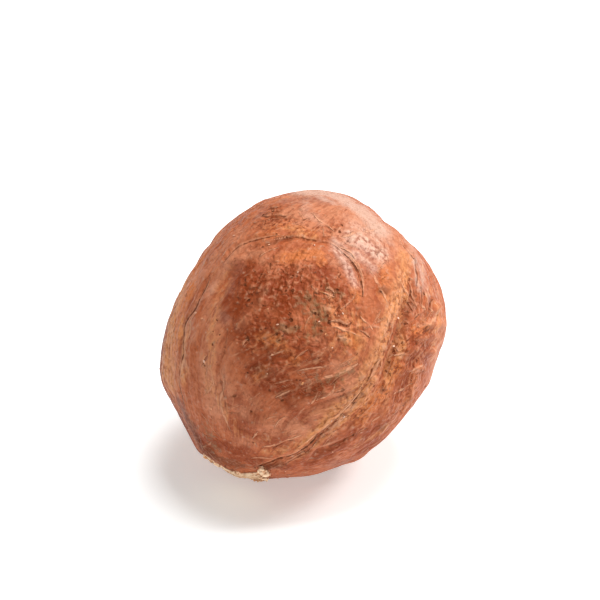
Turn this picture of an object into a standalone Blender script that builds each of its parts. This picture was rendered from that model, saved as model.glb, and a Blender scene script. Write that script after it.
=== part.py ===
"""A shelled hazelnut kernel in its skin, lying on a small flat of its own side. It is one solid body.

The body is worked out about its own axis, which runs from the blunt base to the tip, and is then turned
into the pose in which it lies. A place on it is a longitude, counted round the axis from the front, and an
angle from the tip, both in degrees. The surface stands at one distance from the middle along each direction:
a plain ellipsoid, then broad swellings, then the creases and ridges of the skin and the wrinkles that run
from tip to base, and last the small broken face at the tip.
"""

import itertools
import math

import bmesh
import bpy
import numpy as np
from mathutils import Matrix

MM = 0.001

# The plain body, without its swellings.
LENGTH = 16.0 * MM
BREADTH = 14.3 * MM
DEPTH = 14.7 * MM

# The pose: the tip points down and forward to the left, and the body is rolled about its own axis.
TIP_HEADING = 226.0
TIP_DIP = 44.0
ROLL = 143.0

# How deep the floor plane cuts the underside, which leaves the small flat that the kernel lies on, the
# place that lies lowest, and the angular radius about it within which the wrinkles are pressed smooth.
REST_CUT = 0.20 * MM
REST_PLACE = (-143.0, 46.0)
REST_SMOOTH = 14.0

# The mesh: its segments round the axis, its rings, and how much closer the rings stand at the tip.
SEGMENTS = 104
RINGS = 56
TIP_CROWDING = 0.12

# Broad swellings and hollows of the body: longitude, angle from the tip, angular radius, height.
SWELLINGS = (
    # The beak, drawn out towards the tip.
    (0.0, 0.0, 16.0, 0.48 * MM),
    (90.0, 24.0, 11.0, -0.26 * MM),
    (90.0, 48.0, 16.0, 0.24 * MM),
    (-90.0, 28.0, 22.0, -0.36 * MM),
    # The two flattened flanks.
    (90.0, 90.0, 34.0, -0.38 * MM),
    (-90.0, 62.0, 25.0, -0.28 * MM),
    # The blunt base, with its crown, a dent beside it and the shoulder across that dent.
    (90.0, 150.0, 26.0, 0.16 * MM),
    (-66.0, 168.0, 9.5, -0.76 * MM),
    (-90.0, 129.0, 27.0, 0.50 * MM),
    # The domed cheek in front, and the hollow beside it.
    (4.0, 90.0, 34.0, 0.30 * MM),
    (38.0, 92.0, 9.0, -0.10 * MM),
    # The fuller back and the heel that the kernel lies on.
    (178.0, 95.0, 40.0, 0.20 * MM),
    (-131.0, 57.0, 28.0, 0.28 * MM),
)

# Creases in the skin: half width, depth and height of the lips in mm, and the places each runs through.
CREASES = (
    # The arc over the domed cheek.
    (0.38, 0.20, 0.06, ((50, 95), (42, 108), (32, 116), (14, 124), (-4, 122), (-13, 115))),
    # The groove of the seam, from the tip to the middle of the side, and a second line beside it.
    (0.30, 0.26, 0.10, ((-36, 26), (-34, 48), (-32, 66), (-33, 78), (-31, 88))),
    (0.26, 0.16, 0.06, ((-57, 22), (-46, 38), (-45, 52), (-48, 64))),
    # Two long lines on the left side.
    (0.28, 0.16, 0.07, ((50, 96), (50, 80), (55, 66), (58, 52), (68, 38))),
    (0.28, 0.16, 0.08, ((30, 78), (28, 60), (25, 42), (18, 30), (4, 23))),
    # Two shallow streaks across the lower cheek.
    (0.28, 0.10, 0.04, ((4, 56), (-10, 68), (-26, 86))),
    (0.28, 0.10, 0.04, ((2, 37), (-10, 52), (-26, 78))),
    # A line on the right shoulder.
    (0.28, 0.14, 0.06, ((-58, 158), (-52, 144), (-48, 130))),
)

# Rounded ridges, and a hollow beside the first: half width and height in mm, and the places of each.
RIDGES = (
    (0.70, 0.26, ((-30, 74), (-29, 92), (-27, 112), (-29, 132), (-36, 150), (-56, 166))),
    (0.65, -0.26, ((-41, 84), (-39, 100), (-38, 116), (-41, 132))),
    (0.60, 0.12, ((22, 84), (20, 62), (17, 44), (8, 32))),
    (0.50, 0.10, ((-50, 116), (-64, 112), (-80, 116))),
    (0.50, 0.10, ((-46, 104), (-60, 98), (-76, 99))),
)

# How far the lips stand from a crease, in half widths, and how quickly creases and ridges fade at the ends.
LIP_OFFSET = 2.2
CREASE_FADE = 6.0
RIDGE_FADE = 4.0

# Creases on the side turned away, from tip to base with a slow wander: how many, and their sizes in mm.
BACK_CREASES = 8
BACK_FROM, BACK_TO = 92.0, 268.0
BACK_WANDER = 7.0
BACK_HALF_WIDTH, BACK_DEPTH, BACK_LIP = 0.30, 0.18, 0.07

# Wrinkles from tip to base, all round: how many random cells round the axis and along it, their height, the
# part of that height that is taken off so that they leave the body's size alone, and their sideways wander.
WRINKLE_CELLS = 46.0
WRINKLE_LENGTHS = 5.0
WRINKLE_HEIGHT = 0.15 * MM
WRINKLE_MIDDLE = 0.28
WANDER_CELLS = 2.3
WANDER_TURN = 0.10
# Lumps of the skin that have no direction: random cells across the body's half, and their height.
LUMP_CELLS = 5.5
LUMP_HEIGHT = 0.13 * MM
# The wrinkles across the right shoulder: place, angular radius, cells along the axis and across it, height.
SHOULDER = (-68.0, 108.0)
SHOULDER_SPREAD = 24.0
SHOULDER_CELLS = 16.0
SHOULDER_CELLS_ACROSS = 3.0
SHOULDER_HEIGHT = 0.07 * MM

# The broken face at the tip: the way that it looks, how far it lies from the middle, and its roughness.
FACE_LONGITUDE = 90.0
FACE_ANGLE = 6.0
FACE_DISTANCE = 7.95 * MM
FACE_ROUNDING = 0.10 * MM
FACE_ROUGHNESS = 0.09 * MM
FACE_CELLS = 14.0
# The scrap of stalk that stands on the edge of the broken face: place, angular radius, height.
SCRAP = (-100.0, 15.5)
SCRAP_SPREAD = 3.4
SCRAP_HEIGHT = 0.22 * MM

SKIN = (0.40, 0.16, 0.075, 1.0)
SKIN_ROUGHNESS = 0.55

# The random values that the wrinkles and lumps are blended from, always the same ones.
LATTICE_SIDE = 64
LATTICE = np.random.default_rng(5).uniform(-1, 1, (LATTICE_SIDE,) * 3)


def direction(longitude, angle):
    """The unit vector to a place on the body, from its middle."""
    lon, ang = np.radians(longitude), np.radians(angle)
    return np.stack([np.sin(ang) * np.cos(lon), np.sin(ang) * np.sin(lon), np.cos(ang)], axis=-1)


def apart(ways, longitude, angle):
    """The angle in degrees between each unit vector and a place."""
    return np.degrees(np.arccos(np.clip(ways @ direction(longitude, angle), -1, 1)))


def cloud(places):
    """Smooth noise from -1 to 1: random values at whole-numbered places, blended in between."""
    base = np.floor(places).astype(int)
    part = places - base
    part = part * part * (3 - 2 * part)
    total = np.zeros(len(places))
    for corner in itertools.product((0, 1), repeat=3):
        weight = np.prod(np.where(corner, part, 1 - part), axis=1)
        total += weight * LATTICE[tuple(((base + corner) % LATTICE_SIDE).T)]
    return total


def swollen(ways):
    """The distance of the surface from the middle, along each unit vector: an ellipsoid with swellings."""
    half = np.array([DEPTH, BREADTH, LENGTH]) / 2
    reach = 1 / np.linalg.norm(ways / half, axis=1)
    for longitude, angle, spread, height in SWELLINGS:
        reach = reach + height * np.exp(-((apart(ways, longitude, angle) / spread) ** 2))
    return reach


def smooth_path(places, steps=6):
    """Unit vectors along a smooth curve through a few places: each stretch is a cubic (Catmull-Rom)."""
    knots = direction(*np.array(places, float).T)
    knots = np.vstack([2 * knots[0] - knots[1], knots, 2 * knots[-1] - knots[-2]])
    t = np.linspace(0, 1, steps, endpoint=False)[:, None]
    bends = [
        b + t / 2 * (c - a + t * (2 * a - 5 * b + 4 * c - d + t * (3 * b - a - 3 * c + d)))
        for a, b, c, d in zip(knots, knots[1:], knots[2:], knots[3:])
    ]
    path = np.vstack(bends + [knots[-2]])
    return path / np.linalg.norm(path, axis=1)[:, None]


def beside(ways, path):
    """For each unit vector, its distance in mm from the path, and how far along the path that is, 0 to 1."""
    start, step = path[:-1], np.diff(path, axis=0)
    share = np.einsum("nk,sk->ns", ways, step) - np.einsum("sk,sk->s", start, step)
    share = np.clip(share / np.einsum("sk,sk->s", step, step), 0, 1)
    gap = np.linalg.norm(ways[:, None] - start - share[..., None] * step, axis=2)
    near = gap.argmin(axis=1)
    rows = np.arange(len(ways))
    return gap[rows, near] * LENGTH / 2 / MM, (near + share[rows, near]) / len(step)


def faded(along, quickness):
    """One along the middle of a path, and falling to nought at both its ends."""
    return np.clip(quickness * along, 0, 1) * np.clip(quickness * (1 - along), 0, 1)


def crease(ways, half_width, depth, lip, places):
    """A bell-shaped groove with a lower bell on each side of it, which fades out at its ends."""
    off, along = beside(ways, smooth_path(places))
    groove = -depth * np.exp(-((off / half_width) ** 2))
    lips = lip * np.exp(-((off / half_width - LIP_OFFSET) ** 2))
    return faded(along, CREASE_FADE) * (groove + lips) * MM


def ridge(ways, half_width, height, places):
    """A bell-shaped ridge that fades out at its ends."""
    off, along = beside(ways, smooth_path(places))
    return faded(along, RIDGE_FADE) * height * np.exp(-((off / half_width) ** 2)) * MM


def back_places(number):
    """The places of one crease on the side turned away: evenly spread longitudes, with a seeded wander."""
    chance = np.random.default_rng(40 + number)
    middle = BACK_FROM + (BACK_TO - BACK_FROM) * (number + 0.5) / BACK_CREASES
    first, last = chance.uniform(16, 50), chance.uniform(110, 160)
    angles = np.linspace(first, last, 6)
    wander = np.cumsum(chance.uniform(-BACK_WANDER, BACK_WANDER, 6))
    return tuple(zip(middle + wander, angles))


def wrinkled(ways):
    """The height of the wrinkles and lumps: rounded pads with sharp folds between them, which are noise
    without its sign. The pads are drawn out from tip to base, and a patch on the right shoulder has
    others drawn out across it."""
    angle = np.arccos(np.clip(ways[:, 2], -1, 1))
    wander = WANDER_TURN * cloud(ways * WANDER_CELLS)
    turned = np.arctan2(ways[:, 1], ways[:, 0]) + wander
    turns = WRINKLE_CELLS / (2 * np.pi)
    lengthways = angle * WRINKLE_LENGTHS / np.pi
    drawn = cloud(np.column_stack([turns * np.cos(turned), turns * np.sin(turned), lengthways]))
    pads = (np.abs(drawn) - WRINKLE_MIDDLE) * np.sin(angle)
    lumps = np.abs(cloud(ways * LUMP_CELLS)) - WRINKLE_MIDDLE
    near = np.exp(-((apart(ways, *SHOULDER) / SHOULDER_SPREAD) ** 2))
    across = cloud(np.column_stack([ways[:, :2] * SHOULDER_CELLS_ACROSS, angle * SHOULDER_CELLS]))
    return WRINKLE_HEIGHT * pads + LUMP_HEIGHT * lumps + SHOULDER_HEIGHT * near * across


def skinned(ways):
    """The surface with its creases, ridges and wrinkles, which are pressed smooth where the kernel lies."""
    relief = wrinkled(ways)
    for half_width, depth, lip, places in CREASES:
        relief += crease(ways, half_width, depth, lip, places)
    for number in range(BACK_CREASES):
        relief += crease(ways, BACK_HALF_WIDTH, BACK_DEPTH, BACK_LIP, back_places(number))
    for half_width, height, places in RIDGES:
        relief += ridge(ways, half_width, height, places)
    pressed = np.exp(-((apart(ways, *REST_PLACE) / REST_SMOOTH) ** 4))
    return swollen(ways) + relief * (1 - pressed)


def smaller(a, b, rounding):
    """The smaller of two distances, with the corner between them rounded."""
    mix = np.clip(0.5 + (b - a) / (2 * rounding), 0, 1)
    return b + (a - b) * mix - rounding * mix * (1 - mix)


def broken_at_tip(ways, reach):
    """The surface cut off by the rough plane of the broken face, with the scrap of stalk on its edge."""
    towards = np.maximum(ways @ direction(FACE_LONGITUDE, FACE_ANGLE), 0.2)
    rough = FACE_DISTANCE + FACE_ROUGHNESS * cloud(ways * FACE_CELLS)
    scrap = SCRAP_HEIGHT * np.exp(-((apart(ways, *SCRAP) / SCRAP_SPREAD) ** 2))
    return smaller(reach, rough / towards, FACE_ROUNDING) + scrap


def pose():
    """The turn from the kernel's own axes, tip up and front along +X, to the way that it lies."""
    return (
        Matrix.Rotation(math.radians(TIP_HEADING), 4, "Z")
        @ Matrix.Rotation(math.radians(90 + TIP_DIP), 4, "Y")
        @ Matrix.Rotation(math.radians(ROLL), 4, "Z")
    )


def skin_material():
    material = bpy.data.materials.new("skin")
    material.use_nodes = True
    shader = material.node_tree.nodes["Principled BSDF"]
    shader.inputs["Base Color"].default_value = SKIN
    shader.inputs["Roughness"].default_value = SKIN_ROUGHNESS
    shader.inputs["Metallic"].default_value = 0.0
    return material


def unit_sphere():
    """A sphere of rings about its axis, crowded a little towards the tip: a bmesh and its unit vectors."""
    body = bmesh.new()
    bmesh.ops.create_uvsphere(body, u_segments=SEGMENTS, v_segments=RINGS, radius=1.0)
    ways = np.array([vertex.co for vertex in body.verts])
    angle = np.arccos(np.clip(ways[:, 2] / np.linalg.norm(ways, axis=1), -1, 1))
    angle -= TIP_CROWDING * np.sin(angle)
    around = np.degrees(np.arctan2(ways[:, 1], ways[:, 0]))
    return body, direction(around, np.degrees(angle))


def laid_down(body):
    """The body turned to its pose, cut by the floor, and moved so that the flat's middle is the origin."""
    body.transform(pose())
    lowest = min(vertex.co.z for vertex in body.verts)
    body.transform(Matrix.Translation((0, 0, -lowest - REST_CUT)))
    cut = bmesh.ops.bisect_plane(
        body,
        geom=body.verts[:] + body.edges[:] + body.faces[:],
        dist=1e-7,
        plane_co=(0, 0, 0),
        plane_no=(0, 0, -1),
        clear_outer=True,
    )
    rim = [part for part in cut["geom_cut"] if isinstance(part, bmesh.types.BMEdge)]
    bmesh.ops.edgeloop_fill(body, edges=rim)
    bmesh.ops.recalc_face_normals(body, faces=body.faces)
    flat = min(body.faces, key=lambda face: face.calc_center_median().z)
    middle = flat.calc_center_bounds()
    body.transform(Matrix.Translation((-middle.x, -middle.y, 0)))


def kernel():
    body, ways = unit_sphere()
    reach = broken_at_tip(ways, skinned(ways))
    for vertex, place in zip(body.verts, ways * reach[:, None]):
        vertex.co = place
    laid_down(body)
    mesh = bpy.data.meshes.new("kernel")
    body.to_mesh(mesh)
    body.free()
    mesh.shade_smooth()
    mesh.materials.append(skin_material())
    obj = bpy.data.objects.new("kernel", mesh)
    bpy.context.scene.collection.objects.link(obj)
    return obj


for old in list(bpy.data.objects):
    bpy.data.objects.remove(old)
kernel()
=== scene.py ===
import itertools
import math

import bpy
import numpy as np
from mathutils import Matrix, Vector


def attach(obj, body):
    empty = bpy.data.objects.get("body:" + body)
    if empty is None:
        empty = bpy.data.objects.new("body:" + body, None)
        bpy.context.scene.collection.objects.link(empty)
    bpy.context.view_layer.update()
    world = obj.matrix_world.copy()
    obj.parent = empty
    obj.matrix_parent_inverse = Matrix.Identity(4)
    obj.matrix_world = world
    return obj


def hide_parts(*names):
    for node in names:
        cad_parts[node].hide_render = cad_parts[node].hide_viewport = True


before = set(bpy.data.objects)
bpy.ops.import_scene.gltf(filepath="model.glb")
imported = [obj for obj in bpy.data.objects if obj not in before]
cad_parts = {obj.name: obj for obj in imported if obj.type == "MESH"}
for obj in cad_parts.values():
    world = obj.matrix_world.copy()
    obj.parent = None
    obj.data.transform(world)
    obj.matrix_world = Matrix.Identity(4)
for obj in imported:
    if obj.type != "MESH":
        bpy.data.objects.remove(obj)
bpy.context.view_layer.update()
MM = 0.001

# ----------------------------------------------------------------------------
# The camera stands in front of the kernel and looks down on it at 30 degrees, from 170 mm away, through a
# long lens, so that the kernel fills the same part of the picture as in the photograph.

CAMERA_AIM = Vector((0.249, 0.942, 9.343)) * MM
CAMERA_ELEVATION = 30.0
CAMERA_DISTANCE = 170.0 * MM
CAMERA_LENS = 189.72

camera_data = bpy.data.cameras.new("camera")
camera_data.lens = CAMERA_LENS
camera_data.sensor_width = 36.0
camera_data.clip_start = 0.01
camera_data.clip_end = 20.0
camera = bpy.data.objects.new("camera", camera_data)
rise = math.radians(CAMERA_ELEVATION)
camera_way = Vector((0.0, -math.cos(rise), math.sin(rise)))
camera.location = CAMERA_AIM + camera_way * CAMERA_DISTANCE
camera.rotation_euler = (-camera_way).to_track_quat("-Z", "Y").to_euler()
bpy.context.scene.collection.objects.link(camera)
bpy.context.scene.camera = camera
bpy.context.scene.view_settings.view_transform = "Standard"

# ----------------------------------------------------------------------------
# The floor is a wide sheet of matt white plastic, softly lit from below as a light table is. It is only the
# stage, and its shade wanders a very little, as cast sheet does.

FLOOR_SIDE = 4.0
FLOOR_WHITE = (0.87, 0.888, 0.895)
FLOOR_SHADE = (0.84, 0.855, 0.86)
FLOOR_GLOW, FLOOR_GLOW_TINT = 0.38, (0.99, 1.0, 0.975)
FLOOR_CLOUDS = 9.0


def put_in(node, feeds):
    """Links a tone to each named socket of a node, or sets a plain value on it."""
    for name, value in feeds.items():
        socket = node.inputs[name]
        if isinstance(value, Tone):
            value.tree.links.new(value.socket, socket)
        else:
            colour = isinstance(value, tuple) and socket.type == "RGBA"
            socket.default_value = (*value, 1.0) if colour else value


class Tone:
    """One socket of a finish. Sums, differences and products of tones and numbers add their Math nodes, and
    any other node comes from node()."""

    def __init__(self, tree, socket=None):
        self.tree, self.socket = tree, socket

    def node(self, kind, settings=None, feeds=None, output=0):
        """Adds one node. Its settings come first, then the value or the link of each socket named in feeds."""
        made = self.tree.nodes.new(kind)
        for name, value in (settings or {}).items():
            setattr(made, name, value)
        put_in(made, feeds or {})
        return Tone(self.tree, made.outputs[output])

    def math(self, operation, *values):
        return self.node("ShaderNodeMath", {"operation": operation}, dict(enumerate(values)))

    def __add__(self, other):
        return self.math("ADD", self, other)

    def __radd__(self, other):
        return self.math("ADD", other, self)

    def __sub__(self, other):
        return self.math("SUBTRACT", self, other)

    def __rsub__(self, other):
        return self.math("SUBTRACT", other, self)

    def __mul__(self, other):
        return self.math("MULTIPLY", self, other)

    def __rmul__(self, other):
        return self.math("MULTIPLY", other, self)

    def __abs__(self):
        return self.math("ABSOLUTE", self)

    def object_places(self):
        """Places on the piece, in metres."""
        return self.node("ShaderNodeTexCoord", output=3)

    def kept(self, name, vector=False):
        """A value, or a vector, that the mesh keeps at each of its points."""
        settings = {"attribute_name": name, "attribute_type": "GEOMETRY"}
        return self.node("ShaderNodeAttribute", settings, output=1 if vector else 2)

    def drawn(self, stretch):
        """This vector with each of its parts multiplied by the same part of stretch."""
        return self.node("ShaderNodeVectorMath", {"operation": "MULTIPLY"}, {0: self, 1: stretch})

    def noise(self, scale, detail=2.0, rough=0.5, warp=0.0):
        """Soft noise from 0 to 1 at these places."""
        feeds = {"Vector": self, "Scale": scale, "Detail": detail, "Roughness": rough, "Distortion": warp}
        return self.node("ShaderNodeTexNoise", {"noise_dimensions": "3D"}, feeds)

    def step(self, low, high, start=0.0, end=1.0):
        """A smooth step from start, where this is low, to end, where it is high."""
        settings = {"interpolation_type": "SMOOTHSTEP"}
        feeds = {"Value": self, "From Min": low, "From Max": high, "To Min": start, "To Max": end}
        return self.node("ShaderNodeMapRange", settings, feeds)

    def over(self, below, colour):
        """This share, 0 to 1, of a colour laid over the one below."""
        feeds = {0: self, 6: below, 7: colour}
        return self.node("ShaderNodeMix", {"data_type": "RGBA", "clamp_factor": True}, feeds, output=2)


def new_finish(name):
    """An empty material: the material, a tone to start from, and its shader."""
    material = bpy.data.materials.new(name)
    material.use_nodes = True
    return material, Tone(material.node_tree), material.node_tree.nodes["Principled BSDF"]


def white_sheet():
    """Matt plastic that glows a little, in two whites that soft clouds part."""
    material, start, shader = new_finish("white_sheet")
    clouds = start.object_places().noise(FLOOR_CLOUDS, 3.0)
    feeds = {
        "Base Color": clouds.step(0.35, 0.65).over(FLOOR_WHITE, FLOOR_SHADE),
        "Roughness": 0.85,
        "Specular IOR Level": 0.1,
        "Emission Color": FLOOR_GLOW_TINT,
        "Emission Strength": FLOOR_GLOW,
    }
    put_in(shader, feeds)
    return material


floor_mesh = bpy.data.meshes.new("floor")
half = FLOOR_SIDE / 2
floor_corners = [(-half, -half, 0), (half, -half, 0), (half, half, 0), (-half, half, 0)]
floor_mesh.from_pydata(floor_corners, [], [(0, 1, 2, 3)])
floor_mesh.materials.append(white_sheet())
floor = bpy.data.objects.new("floor", floor_mesh)
bpy.context.scene.collection.objects.link(floor)

# ----------------------------------------------------------------------------
# The light is soft: a wide lamp above, a key lamp high on the right and a little behind, and a white
# surround that fills the shadows.

# The strength of the surround, and the place, side and power of each lamp.
SURROUND = 0.31
TOP_LAMP = ((0.06, 0.02, 0.40), 0.18, 1.36)
KEY_LAMP = ((0.22, 0.04, 0.22), 0.10, 0.60)
LAMP_TARGET = Vector((0.0, 0.0, 7.5 * MM))


def soft_lamp(name, place, side, power):
    """A square lamp of that side in metres, turned to the kernel."""
    data = bpy.data.lights.new(name, "AREA")
    data.size = side
    data.energy = power
    lamp = bpy.data.objects.new(name, data)
    lamp.location = place
    lamp.rotation_euler = (LAMP_TARGET - Vector(place)).to_track_quat("-Z", "Y").to_euler()
    bpy.context.scene.collection.objects.link(lamp)


surround = bpy.data.worlds.new("surround")
surround.use_nodes = True
backdrop = surround.node_tree.nodes["Background"]
backdrop.inputs["Color"].default_value = (1.0, 1.0, 1.0, 1.0)
backdrop.inputs["Strength"].default_value = SURROUND
bpy.context.scene.world = surround
soft_lamp("top_lamp", *TOP_LAMP)
soft_lamp("key_lamp", *KEY_LAMP)

# ----------------------------------------------------------------------------
# The kernel is one solid seed in a thin papery skin that shrank onto it. Its form is worked out about its
# own axis, tip up and front along +X, and is then turned to lie on its side. A place on it is a longitude
# from the front and an angle from the tip, in degrees, and sizes across the skin are in mm.

# Its measures, the way that the tip points and how far it dips and rolls, in degrees, the place of its middle,
# and the place that it lies on, with the radius about it that is pressed smooth.
LENGTH, BREADTH, DEPTH = 16.0, 14.3, 14.7
TIP_HEADING, TIP_DIP, ROLL = 226.0, 44.0, 143.0
BODY_MIDDLE = (0.2093, -0.0669, 7.5958)
REST_PLACE, REST_SMOOTH = (-143.0, 46.0), 14.0

# Longitude, angle, angular radius and height of each broad swelling and hollow.
SWELLINGS = (
    (0, 0, 16, 0.48), (90, 24, 11, -0.26), (90, 48, 16, 0.24), (-90, 28, 22, -0.36), (90, 90, 34, -0.38),
    (-90, 62, 25, -0.28), (90, 150, 26, 0.16), (-66, 168, 9.5, -0.76), (-90, 129, 27, 0.5), (4, 90, 34, 0.3),
    (38, 92, 9, -0.1), (178, 95, 40, 0.2), (-131, 57, 28, 0.28),
)
# Each thin fold in the skin: how dark its line is, from 0 to 1, and the half width of that line, the half
# width, depth and lip of the valley about it, and the longitude and angle of each place that it runs through.
FOLDS = (
    # The line over the domed cheek: thin up the left, broken at the top, and dark down the right.
    (0.65, 0.05, 0.18, 0.07, 0.05, 50, 97, 49.5, 100, 49, 105, 45.5, 109.5, 40, 113.5, 35, 117, 29, 120.5),
    (0.5, 0.055, 0.2, 0.09, 0.03, 37, 112.5, 33.5, 114.5, 31, 117, 28, 120, 22, 122.5, 14.5, 125, 8.5, 126,
        1.5, 125.5, -4.5, 123.5),
    (1, 0.052, 0.2, 0.06, 0.03, 4, 126, -1, 125, -4.5, 123.5, -9, 120.5, -12, 116.5, -14.5, 111.5),
    # The long line up the left side, in two parts, and the one within it.
    (0.85, 0.055, 0.2, 0.05, 0.06, 52, 90, 52, 84, 52, 76, 55, 70.5, 56, 67, 55.5, 62.5, 52, 56.5),
    (0.95, 0.055, 0.2, 0.05, 0.06, 55.5, 62.5, 52, 56.5, 52.5, 52, 53.5, 48.5, 54.5, 44.5, 53.5, 41, 51, 34),
    (0.35, 0.05, 0.24, 0.08, 0.07, 28, 74, 26, 66, 26.5, 60, 24.5, 55, 21.5, 51.5, 18, 47.5, 14, 42),
    # The seam, in parts from the tip to the middle of the side, and the softer lines beside it.
    (0.95, 0.046, 0.18, 0.06, 0.07, -30, 22.5, -30.5, 25, -31, 27.5, -32, 32, -33, 36.5, -34.5, 40,
        -35.5, 45.5, -34.5, 52, -34, 57),
    (0.35, 0.04, 0.18, 0.05, 0.07, -34.5, 52, -34, 57, -34.5, 62.5, -34.5, 69),
    (0.95, 0.056, 0.18, 0.06, 0.07, -34.5, 66, -34.5, 69, -34.8, 73, -34.9, 77, -34.7, 80.5),
    (0.45, 0.042, 0.18, 0.05, 0.07, -34.9, 77, -34.7, 80.5, -34.5, 84, -34, 88.5, -33, 94),
    (0.9, 0.05, 0.18, 0.02, 0.02, -29.5, 20, -30, 22.5, -30.5, 25, -31, 27.5, -32, 32, -33, 36.5, -34.5, 40,
        -35.5, 45.5, -34.5, 52),
    (0.6, 0.045, 0.18, 0.05, 0.04, -20.5, 37, -22, 40, -23.5, 43.5, -26, 47),
    (0.75, 0.05, 0.18, 0.06, 0.04, -41, 27, -41, 30, -40.5, 33.5, -39, 37, -38.5, 41.5, -38.5, 46),
    (0.5, 0.11, 0.24, 0.09, 0.05, -48.5, 40, -45, 44.5, -42.5, 48.5, -44.5, 51, -46.5, 55, -48.5, 59,
        -50.5, 64),
    (0.35, 0.04, 0.16, 0.04, 0.03, -36, 80, -36.5, 72, -36.5, 66),
    # Short cracks on the cheek.
    (0.8, 0.06, 0.15, 0.06, 0.05, -7, 96, -10, 97.5, -12.5, 97.5, -14.5, 98.5, -15, 101),
    (0.7, 0.04, 0.14, 0.04, 0.03, -19.5, 99.5, -22.5, 99, -25, 99),
    (0.9, 0.06, 0.14, 0.05, 0.04, 1, 106.5, -1, 107, -3.5, 107),
    (0.6, 0.045, 0.12, 0.03, 0.02, 18.5, 71, 18, 73, 17.5, 75),
    # Short dark wrinkles at the top left.
    (0.55, 0.07, 0.16, 0.06, 0.05, 60, 127, 57, 129.5, 54, 131.5, 51, 133.5),
    (0.6, 0.07, 0.16, 0.06, 0.05, 54, 124.5, 49.5, 125.5, 46, 127, 43, 128.5, 39, 131.5),
    (0.5, 0.06, 0.14, 0.05, 0.04, 52, 128.5, 49, 129.5, 46.5, 131),
    # On the right shoulder, rising to the ridge.
    (0.6, 0.05, 0.18, 0.07, 0.05, -31, 147, -35, 145.5, -39, 144.5, -42, 143),
    (0.65, 0.045, 0.18, 0.06, 0.05, -44, 144, -43.5, 139, -45, 136, -43.5, 130, -44, 127),
    (0.7, 0.05, 0.18, 0.07, 0.05, -48, 133, -49, 129, -50, 124),
    (0.8, 0.05, 0.18, 0.07, 0.05, -35.5, 131, -39.5, 129, -41, 126.5, -43, 125, -45.5, 122.5),
    (0.6, 0.04, 0.18, 0.05, 0.04, -39, 123.5, -42, 122, -44.5, 120.5),
    (0.6, 0.05, 0.18, 0.06, 0.05, -60, 131, -57, 127.5, -54.5, 122),
)
# How far from a valley's middle its lips are, in its half widths, how quickly folds, ridges and lines grow from
# nothing at their ends, and the power that makes the ends of lines blunt.
LIP_OFFSET = 2.2
FOLD_ENDS, RIDGE_ENDS, LINE_ENDS, LINE_BLUNT = 6.0, 4.0, 3.0, 0.6
# Short fibres and cracks all over: how many, their least and greatest length in degrees, half width, shade and
# seed, how much they lean from the fibres and bend, and how near the poles they may come.
SHORT_THREADS = (170, 3.0, 10.0, 0.055, 0.8, 22)
SHORT_CRACKS = (90, 2.0, 6.0, 0.045, 0.7, 21)
LEAN, BEND, POLE_MARGIN = 0.35, 0.03, 3.0
# The seeded folds on the side turned away: how many, their seed, half width of line and valley, depth and lip,
# their shades, shares of that depth and lengths; and the longitudes and angles that they keep within.
BACK_FOLDS, BACK_SEED, BACK_FOLD = 15, 41, (0.045, 0.26, 0.14, 0.08)
BACK_SHADES, BACK_DEPTHS, BACK_LENGTHS = (0.15, 0.75), (0.4, 1.2), (35.0, 120.0)
BACK_LONGITUDES, BACK_ANGLES, BACK_WANDER, BACK_KNOTS = (86.0, 262.0), (14.0, 162.0), 4.5, 6

# Half width, height and places of each rounded ridge or hollow.
RIDGES = (
    (0.9, 0.17, -30, 74, -29, 92, -27, 112, -29, 132, -36, 150, -56, 166),
    (0.6, -0.22, -41, 84, -40, 100, -39, 116, -41, 132), (0.6, 0.12, 22, 84, 20, 62, 17, 44, 8, 32),
    (0.26, 0.2, -50, 116, -64, 121, -80, 124), (0.26, 0.18, -46, 104, -60, 109, -76, 112),
    (0.22, 0.18, -46, 110, -58, 114, -72, 118), (0.22, 0.15, -47, 96, -60, 101, -74, 104),
    (0.2, 0.17, -52, 122, -62, 127, -72, 131), (0.3, 0.07, 45, 95, 41, 101.5, 37.5, 105.5, 33, 108.5, 29, 112),
    (0.34, 0.07, 2, 37, -10, 52, -20, 68, -27, 80), (0.26, 0.05, -4, 60, -12, 70, -20, 81),
)
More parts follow.
